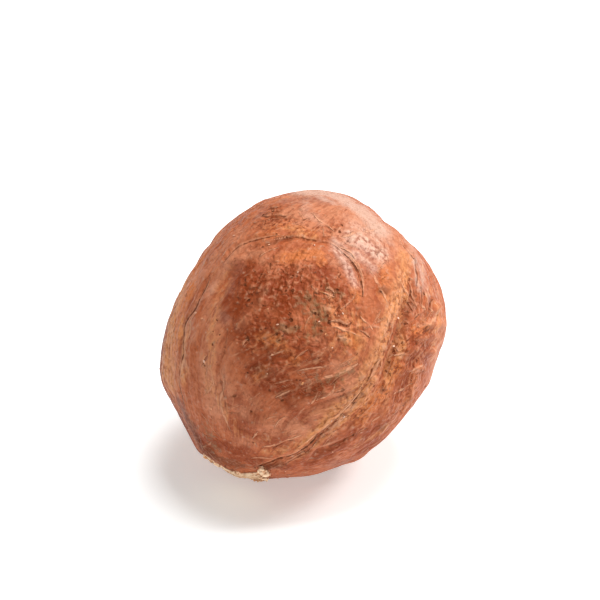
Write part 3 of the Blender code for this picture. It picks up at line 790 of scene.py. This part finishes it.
def back_stains(kind):
    """The seeded stains of one kind, one in each equal share of the side turned away."""
    number, half_width, strength = BACK_STAINS.get(kind, (0, 0, 0))
    chance = np.random.default_rng(STAIN_SEED + len(kind) + number)
    shares = (np.arange(number) + chance.uniform(0, 1, number)) / max(number, 1)
    return tuple(
        (half_width * chance.uniform(*STAIN_WIDTHS), strength, *back_places(chance, share, *STAIN_LENGTHS))
        for share in shares
    )


def stained(ways, marks):
    """How strongly one kind of stain shows, 0 to 1: the strongest of the bells about its marks."""
    total = np.zeros(len(ways))
    for half_width, strength, *places in marks:
        off, _ = beside(ways, places, STAIN_MARGIN)
        total = np.maximum(total, strength * bell(off, half_width))
    return total


def off_dots(ways, dots, far=4.0):
    """The distance from the nearest of some round dots, in radii of that dot, and no more than far."""
    nearest = np.full(len(ways), far)
    for longitude, angle, radius in dots:
        gap = np.linalg.norm(ways - direction(longitude, angle), axis=1) * LENGTH / 2
        nearest = np.minimum(nearest, gap / radius)
    return nearest


def scattered(number, seed):
    """Seeded dots over the side turned away from the front: the longitude, angle and radius of each. More are
    drawn than are kept, because those on the front are left out."""
    chance = np.random.default_rng(seed)
    ways = unit(chance.normal(size=(6 * number, 3)))
    ways = ways[apart(ways, *FRONT_PLACE) > FRONT_SPREAD][:number]
    longitudes, angles = np.degrees(np.arctan2(ways[:, 1], ways[:, 0])), np.degrees(np.arccos(ways[:, 2]))
    return tuple(zip(longitudes, angles, chance.uniform(*DOT_RADII, len(ways))))


SKIN_PLAIN, SKIN_DUSTY = (0.45, 0.117, 0.042), (0.57, 0.209, 0.106)
SKIN_TAN, SKIN_MAUVE_AND_SHADE = (0.675, 0.264, 0.09), (0.33, 0.125, 0.08)
SKIN_RUDDY, SKIN_WARM = (0.25, 0.038, 0.005), (0.6, 0.172, 0.048)
SKIN_DARK, SKIN_DEEP = (0.125, 0.028, 0.006), (0.155, 0.038, 0.01)
# Pale and cream skin; near the base they also carry a painted highlight and sheen.
SKIN_PALE, SKIN_CREAM = (0.79, 0.49, 0.36), (0.635, 0.405, 0.31)
SKIN_GREEN, SKIN_MOSS = (0.17, 0.105, 0.045), (0.33, 0.165, 0.075)
# Painted shade for the hollows of the crinkles and relief, and painted highlight for their crests.
SKIN_HOLLOW_SHADE, SKIN_CREST_LIGHT = (0.195, 0.031, 0.005), (0.545, 0.2, 0.098)
# Pale fibre for threads and the lips of folds, and painted highlight on crests in the tan stains.
SKIN_FIBRE_AND_CREST_LIGHT = (0.74, 0.352, 0.2)
FLESH, FLESH_SHADE = (0.87, 0.62, 0.41), (0.64, 0.36, 0.19)
# Cells per metre of the noises that have no direction, from broad clouds to specks, and cells per radian of the
# ones that are drawn out along the fibres.
BROAD_CELLS, MOTTLE_CELLS, GRIT_CELLS, SPECK_CELLS = 420.0, 1300.0, 4200.0, 6200.0
PAD_CELLS, GAP_CELLS = 2000.0, 2200.0
STREAK_CELLS, LONG_PAD_CELLS, GRAIN_CELLS = (14.0, 14.0, 2.5), (18.0, 18.0, 6.0), (34.0, 34.0, 13.0)


def raised_by(height):
    """The normal of a surface with a fine relief, whose height is given in mm."""
    return height.node("ShaderNodeBump", None, {"Strength": 1.0, "Distance": MM, "Height": height})


def skin_with_flesh():
    """Dry papery skin that shrank into fine crinkles, mottled and streaked from tip to base, and the bare
    flesh at the tip. The crinkles are noise without its sign: rounded pads with thin creases between them.
    The colour is built up in layers, each a share from 0 to 1 and its shade. Some layers are painted light:
    painted shade in the hollows of the crinkles and the relief, painted highlight on their crests and on the
    pale patch near the base, and a painted shadow round the torn edge."""
    material, start, shader = new_finish("nut_skin")
    places = start.object_places()
    fibre = start.kept("fibre", vector=True)
    fold, fold_shade, relief = start.kept("fold"), start.kept("fold_shade"), start.kept("relief")
    thread, thread_shade = start.kept("thread"), start.kept("thread_shade")
    inside, pit = start.kept("bare"), start.kept("pit")
    dusty, tan, mauve, ruddy, warm, dark, pale, cream, crinkled, green = (start.kept(name) for name in STAINS)

    broad = places.noise(BROAD_CELLS, 3.0, 0.55) - 0.5
    mottle = places.noise(MOTTLE_CELLS, 2.0, 0.6) - 0.5
    grit = places.noise(GRIT_CELLS, 1.0, 0.4) - 0.5
    specks = places.noise(SPECK_CELLS, 0.0)
    gaps = places.noise(GAP_CELLS, 1.0).step(0.40, 0.52)
    streaks = fibre.drawn(STREAK_CELLS).noise(1.0, 2.0, 0.6) - 0.5
    grain = fibre.drawn(GRAIN_CELLS).noise(1.0, 2.0, 0.6) - 0.5
    round_pads = abs(places.noise(PAD_CELLS, 1.0, 0.5, 0.4) - 0.5) * 7.0
    long_pads = abs(fibre.drawn(LONG_PAD_CELLS).noise(1.0, 1.0, 0.5, 0.4) - 0.5) * 7.0

    rough = (crinkled + mottle * 1.2).step(0.0, 1.0, 0.38, 1.0) * (1.0 - 0.7 * cream) * (1.0 - 0.4 * pale)
    crinkle = round_pads * 0.40 + long_pads * 0.26 + grain * 0.50 + 0.25
    crackle = round_pads * 0.5 + long_pads * 0.5
    creases = crackle.step(0.45, 0.10) + grit.step(-0.02, -0.14) * 0.9
    mixed = mottle * 1.6 + grit * 0.8
    strokes = streaks + grain * (0.4 + rough * 0.6)
    # The colours of painted shade in hollows and painted highlight on crests, which follow the green, pale and
    # tan stains.
    hollow = green.over(SKIN_HOLLOW_SHADE, SKIN_GREEN)
    crest_light = green.over(pale.over(tan.over(SKIN_CREST_LIGHT, SKIN_FIBRE_AND_CREST_LIGHT), SKIN_PALE), SKIN_MOSS)
    lit = rough * (0.50 - 0.12 * ruddy)
    pitted = (pit + grit * 1.5 + specks - 0.5).step(1.4, 0.6)
    line = (abs(fold) + grit * 4.0 + mottle * 1.5).step(1.7, 0.3) * (gaps * 0.8 + 0.2) * fold_shade
    raised = (abs(thread) + grit * 2.5 + mottle * 2.0).step(1.4, 0.2) * (gaps * 0.7 + 0.3) * thread_shade
    lips = abs(fold - 0.8).step(4.5, 1.5) * abs(fold).step(0.8, 2.0) * fold_shade
    lips = (lips + mottle * 1.2).step(0.15, 0.9)
    flesh = inside.step(-0.03, 0.03)

    colour = SKIN_PLAIN
    for share, shade in (
        ((broad * 2.0 + dusty).step(0.0, 0.9), SKIN_DUSTY),
        # Purplish grey, in places painted shade.
        ((mauve + mottle).step(0.2, 1.0) * 0.8, SKIN_MAUVE_AND_SHADE),
        ((ruddy + mixed + broad).step(0.15, 0.85) * 0.9, SKIN_RUDDY),
        ((warm + mixed).step(0.25, 0.95) * 0.9, SKIN_WARM),
        ((tan + mixed * 0.6 + streaks * 1.6 + grain).step(0.2, 1.0) * 0.85, SKIN_TAN),
        ((dark + mixed + streaks).step(0.3, 1.0) * 0.7, SKIN_DARK),
        (strokes.step(0.02, 0.28) * (1.0 - 0.5 * ruddy) * 0.40, SKIN_DUSTY),
        (strokes.step(-0.02, -0.26) * 0.50, SKIN_RUDDY),
        ((cream + mixed * 0.3).step(0.15, 0.85) * 0.80, SKIN_CREAM),
        ((pale + mottle * 0.6).step(0.0, 0.8) * 0.60, SKIN_CREAM),
        # On the pale patch: painted highlight on the crests of its crackle, and painted shade in its creases.
        ((pale * crackle + grit * 2.5).step(0.30, 1.2) * 0.75, SKIN_PALE),
        ((pale * creases).step(0.1, 1.0) * 0.65, SKIN_RUDDY),
        ((green + grit * 2.2 + mottle).step(0.25, 1.10) * 0.55, SKIN_GREEN),
        # Painted shade in the hollows of the crinkles and grit, and painted highlight on their crests.
        (crinkle.step(0.55, 0.15) * rough * 0.80, hollow),
        (crinkle.step(0.65, 1.30) * lit, crest_light),
        (grit.step(0.02, 0.15) * lit, crest_light),
        (grit.step(-0.03, -0.16) * rough * 0.60, SKIN_HOLLOW_SHADE),
        ((specks.step(0.28, 0.18) * rough + pitted) * 0.90, SKIN_DARK),
        # Painted shade in the hollows of the relief, and painted highlight on its raised parts.
        (relief.step(-0.2, -2.2) * 0.5, SKIN_HOLLOW_SHADE),
        (relief.step(0.2, 2.2) * 0.3, SKIN_CREST_LIGHT),
        (lips * 0.50, SKIN_FIBRE_AND_CREST_LIGHT),
        (raised * 0.70, SKIN_FIBRE_AND_CREST_LIGHT),
        (line, SKIN_DEEP),
        # Painted shadow along the outside of the torn edge, broken up into dark brown spots.
        ((inside + mottle * 1.6 + grit * 0.8).step(-0.42, -0.08) * 0.7, SKIN_DARK),
        (flesh, (mottle + grit).step(-0.2, 0.2).over(FLESH, FLESH_SHADE)),
    ):
        colour = share.over(colour, shade)

    height = crinkle * rough * 0.11 + grit * 0.07 + mottle * 0.08 + streaks * 0.05 + grain * 0.05
    height = height + pale * crackle * 0.05
    height = height + raised * 0.06 + lips * 0.03 - line * 0.06 - pitted * 0.05
    feeds = {
        "Base Color": colour,
        "Roughness": 0.56 - 0.4 * grit - 0.10 * pale + 0.2 * flesh + 0.2 * pitted,
        "Normal": raised_by(height),
        "Specular IOR Level": 0.15,
        "Coat Weight": (pale + cream * 0.6 + mottle * 0.6).step(0.0, 1.2) * 0.3,
        "Coat Roughness": 0.32,
    }
    put_in(shader, feeds)
    return material


# The grid, how much its columns crowd to the front, the distance from the axis within which the fibres draw
# together, and the height in mm that counts as one for the finish.
COLUMNS, ROWS = 440, 224
FRONT_CROWDING = 0.22
FIBRES_MEET = 0.45
RELIEF_UNIT = 0.1

# Rings of constant angle from the tip, each crowded a little to the front.
around = np.linspace(-180, 180, COLUMNS, endpoint=False)
longitudes = around - FRONT_CROWDING * np.degrees(np.sin(np.radians(around)))
lon, ang = np.meshgrid(longitudes, np.linspace(0, 180, ROWS + 2)[1:-1])
ways = np.vstack([direction(lon.ravel(), ang.ravel()), [[0, 0, 1], [0, 0, -1]]])
places = laid_down(ways * reach(ways)[:, None])
kernel_skin = new_piece("kernel_in_skin", places, capped_faces(ROWS, COLUMNS), skin_with_flesh())
turn = turned(ways)
width = np.clip(np.sqrt(1 - ways[:, 2] ** 2) / FIBRES_MEET, 0, 1)
tip_angle = np.arccos(np.clip(ways[:, 2], -1, 1))
fold_lines = [(*fold[:2], *fold[5:]) for fold in ALL_FOLDS] + list(short_lines(*SHORT_CRACKS))
thread_lines = [(1.0, *thread) for thread in THREADS] + list(short_lines(*SHORT_THREADS))
kept = {name: stained(ways, marks + back_stains(name)) for name, marks in STAINS.items()}
kept["fibre"] = round_places(turn, width, tip_angle)
kept["fold"], kept["fold_shade"] = off_lines(ways, fold_lines)
kept["thread"], kept["thread_shade"] = off_lines(ways, thread_lines)
kept["relief"] = skin_relief(ways) / RELIEF_UNIT
kept["bare"] = np.clip(bare(ways), -1, 1)
kept["pit"] = off_dots(ways, PITS + scattered(*BACK_PITS))
for name, values in kept.items():
    keep(kernel_skin, name, values)
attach(kernel_skin, "root")
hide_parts("kernel")

# ----------------------------------------------------------------------------
# Round the bare flesh the skin is torn: its edge is a pale, ragged lip of dry skin that curls up a little. It
# is one closed strip that follows the tear.

LIP_TURNS, LIP_ROUND = 640, 12
LIP_HALF_WIDTH, LIP_THICK, LIP_CURL, LIP_CRUMPLE, LIP_CELLS = 0.062, 0.026, 0.09, 0.045, 90.0
# How much the width wanders, the least share of the curl, the radius and level of both noises' circles, and how
# far in mm the lip lies inside the tear.
LIP_WIDER, LIP_LEAST_CURL, LIP_WIDTH_WAVES, LIP_CURL_WAVES, LIP_INSIDE = 0.9, 0.8, (5.0, 3.5), (4.0, 7.5), 0.02
LIP_PALE, LIP_TAN, LIP_CREASE_SHADE = (0.96, 0.69, 0.46), (0.68, 0.33, 0.16), (0.22, 0.075, 0.03)
LIP_MOTTLE_CELLS, LIP_GRIT_CELLS = 4200.0, 9000.0


def dry_edge(name):
    """Dry torn skin seen from its inner side: pale, with tan, and brown blotches as painted shade in its
    creases.
    """
    material, start, shader = new_finish(name)
    places = start.object_places()
    mottle = places.noise(LIP_MOTTLE_CELLS, 2.0, 0.6) - 0.5
    grit = places.noise(LIP_GRIT_CELLS, 2.0, 0.6) - 0.5
    colour = (mottle * 1.6 + grit).step(-0.15, 0.30).over(LIP_PALE, LIP_TAN)
    colour = ((mottle + grit).step(0.10, 0.25) * 0.8).over(colour, LIP_CREASE_SHADE)
    feeds = {
        "Base Color": colour,
        "Roughness": 0.7 - 0.4 * grit,
        "Normal": raised_by(mottle * 0.04 + grit * 0.02),
        "Specular IOR Level": 0.35,
    }
    put_in(shader, feeds)
    return material


def torn_lip(turns, section):
    """Places in mm on the lip. Across it is a flat ellipse about the torn edge, its inner side curled up, and
    its width, curl and place wander with the noise."""
    wide = LIP_HALF_WIDTH * (1 + LIP_WIDER * cloud(round_places(turns, *LIP_WIDTH_WAVES)))
    curl = LIP_CURL * (LIP_LEAST_CURL + cloud(round_places(turns, *LIP_CURL_WAVES)))
    off = np.degrees((wide * np.cos(section) - LIP_INSIDE) / (LENGTH / 2))
    angle = np.radians(torn_edge(turns) + off)
    spread = np.cos(turns)[:, None] * BARE_AXES[0] + np.sin(turns)[:, None] * BARE_AXES[1]
    ways = np.cos(angle)[:, None] * BARE_MIDDLE + np.sin(angle)[:, None] * spread
    lift = LIP_THICK * np.sin(section) + curl * ((1 - np.cos(section)) / 2) ** 2
    lift = lift + LIP_CRUMPLE * cloud(ways * LIP_CELLS)
    return ways * (outside(ways) + lift)[:, None]


steps = (np.linspace(0, 2 * np.pi, number, endpoint=False) for number in (LIP_TURNS, LIP_ROUND))
turns, section = (grid.ravel() for grid in np.meshgrid(*steps, indexing="ij"))
lip_faces = ring_faces(LIP_TURNS, LIP_ROUND, closed=True)
torn_skin = new_piece("torn_skin_edge", laid_down(torn_lip(turns, section)), lip_faces, dry_edge("dry_edge"))
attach(torn_skin, "root")

# ----------------------------------------------------------------------------
# A crumpled scrap of skin and flesh hangs on the tear, beside the seam. Each of its lumps is a little flake,
# closed and bent up at its sides, and they lie over one another.

# Place, turn about the outward way in degrees, height over the skin, length, width, thickness and bend in mm.
SCRAPS = (
    ((-41.5, 22.3), 20, 0.1, 0.6, 0.54, 0.48, 0.05), ((-34, 24.2), 10, 0.1, 0.44, 0.26, 0.34, 0.1),
    ((-48, 21), 60, 0.06, 0.44, 0.36, 0.32, 0.1), ((-40, 20.4), -30, 0.04, 0.5, 0.34, 0.26, 0.2),
    ((-52, 19.4), 70, 0.02, 0.44, 0.3, 0.2, 0.2),
)
SCRAP_ROWS, SCRAP_ROUND, SCRAP_CRUMPLE = 26, 36, 0.058
# How far apart flakes are in the noise that crumples them, its cells per mm, a shift for each way, and how much
# the ends of a flake bend up, as a share of the bend of its sides.
FLAKE_APART, FLAKE_CELLS, FLAKE_SHIFTS, FLAKE_END_BEND = 97.0, 6.0, (0.0, 11.3, 23.7), 0.4


def flakes(flake_places, turn, over, length, width, thick, bend, rows, around, crumple):
    """Places in mm on some flakes. Each is a lens, an ellipsoid squashed flat, whose two sides bend up as the
    square of their way out, and which noise crumples. It lies square to the way out of the kernel."""
    middles = direction(*np.array(flake_places, float).T)
    u = np.linspace(0, np.pi, rows + 2)[:, None]
    v = np.linspace(0, 2 * np.pi, around, endpoint=False)[None, :]
    x, y, z = np.cos(u) + 0 * v, np.sin(u) * np.cos(v), np.sin(u) * np.sin(v)
    lens = np.stack([x, y, z], axis=-1)
    lens = np.vstack([lens[1:-1].reshape(-1, 3), lens[0, :1], lens[-1, :1]])
    sizes = np.stack([length, width, thick], axis=-1)[:, None, :] / 2
    flat = lens * sizes
    bowl = lens[:, 1] ** 2 + FLAKE_END_BEND * lens[:, 0] ** 2
    flat[..., 2] += np.asarray(bend)[:, None] * sizes[..., 1] * bowl
    seat = middles[:, None, :] * FLAKE_APART + flat * FLAKE_CELLS
    shift = np.stack([cloud((seat + offset).reshape(-1, 3)) for offset in FLAKE_SHIFTS], axis=-1)
    flat += crumple * shift.reshape(flat.shape)
    first = unit(np.cross([0.0, 0.0, 1.0], middles))
    second = np.cross(middles, first)
    c, s = np.cos(np.radians(turn))[:, None], np.sin(np.radians(turn))[:, None]
    first, second = first * c + second * s, second * c - first * s
    seats = middles * (outside(middles) + over)[:, None]
    axes = np.stack([first, second, middles], axis=1)
    return (seats[:, None, :] + flat @ axes).reshape(-1, 3)


def flake_faces(number, rows, around):
    """The faces of that many flakes, one after the other."""
    each = rows * around + 2
    return [face for start in range(0, number * each, each) for face in capped_faces(rows, around, start)]


scrap_values = [np.array(values, float) for values in zip(*(scrap[1:] for scrap in SCRAPS))]
scrap_places = flakes([scrap[0] for scrap in SCRAPS], *scrap_values, SCRAP_ROWS, SCRAP_ROUND, SCRAP_CRUMPLE)
scrap_faces = flake_faces(len(SCRAPS), SCRAP_ROWS, SCRAP_ROUND)
scrap = new_piece("crumpled_scrap", laid_down(scrap_places), scrap_faces, dry_edge("dry_scrap"))
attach(scrap, "root")

# ----------------------------------------------------------------------------
# Tiny scales of the outermost skin have come loose here and there. They are pale, cling to the skin, and
# stand up a little at their sides.

SCALE_ROWS, SCALE_ROUND, SCALE_CRUMPLE = 3, 6, 0.02
# The height over the skin, length, width and thickness of a scale, in its radii, and its bend and seed.
SCALE_SHAPE, SCALE_BENDS, SCALE_SEED = (0.2, 1.8, 1.0, 0.4), (0.3, 0.9), 3
SCALE_MOTTLE_CELLS = 3000.0


def loose_skin():
    """Thin pale skin, mottled with tan, a little glossier than the rest."""
    material, start, shader = new_finish("loose_skin")
    mottle = start.object_places().noise(SCALE_MOTTLE_CELLS, 2.0) - 0.5
    feeds = {
        "Base Color": mottle.step(-0.1, 0.2).over(SKIN_PALE, SKIN_TAN),
        "Roughness": 0.5 - 0.3 * mottle,
        "Specular IOR Level": 0.5,
    }
    put_in(shader, feeds)
    return material


scale_dots = np.array(SCALES + scattered(*BACK_SCALES))
chance = np.random.default_rng(SCALE_SEED)
count = len(scale_dots)
scale_turns, scale_bends = chance.uniform(0, 180, count), chance.uniform(*SCALE_BENDS, count)
scale_sizes = [scale_dots[:, 2] * share for share in SCALE_SHAPE]
scale_places = flakes(
    scale_dots[:, :2], scale_turns, *scale_sizes, scale_bends, SCALE_ROWS, SCALE_ROUND, SCALE_CRUMPLE
)
scale_faces = flake_faces(count, SCALE_ROWS, SCALE_ROUND)
scales = new_piece("loose_scales", laid_down(scale_places), scale_faces, loose_skin())
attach(scales, "root")
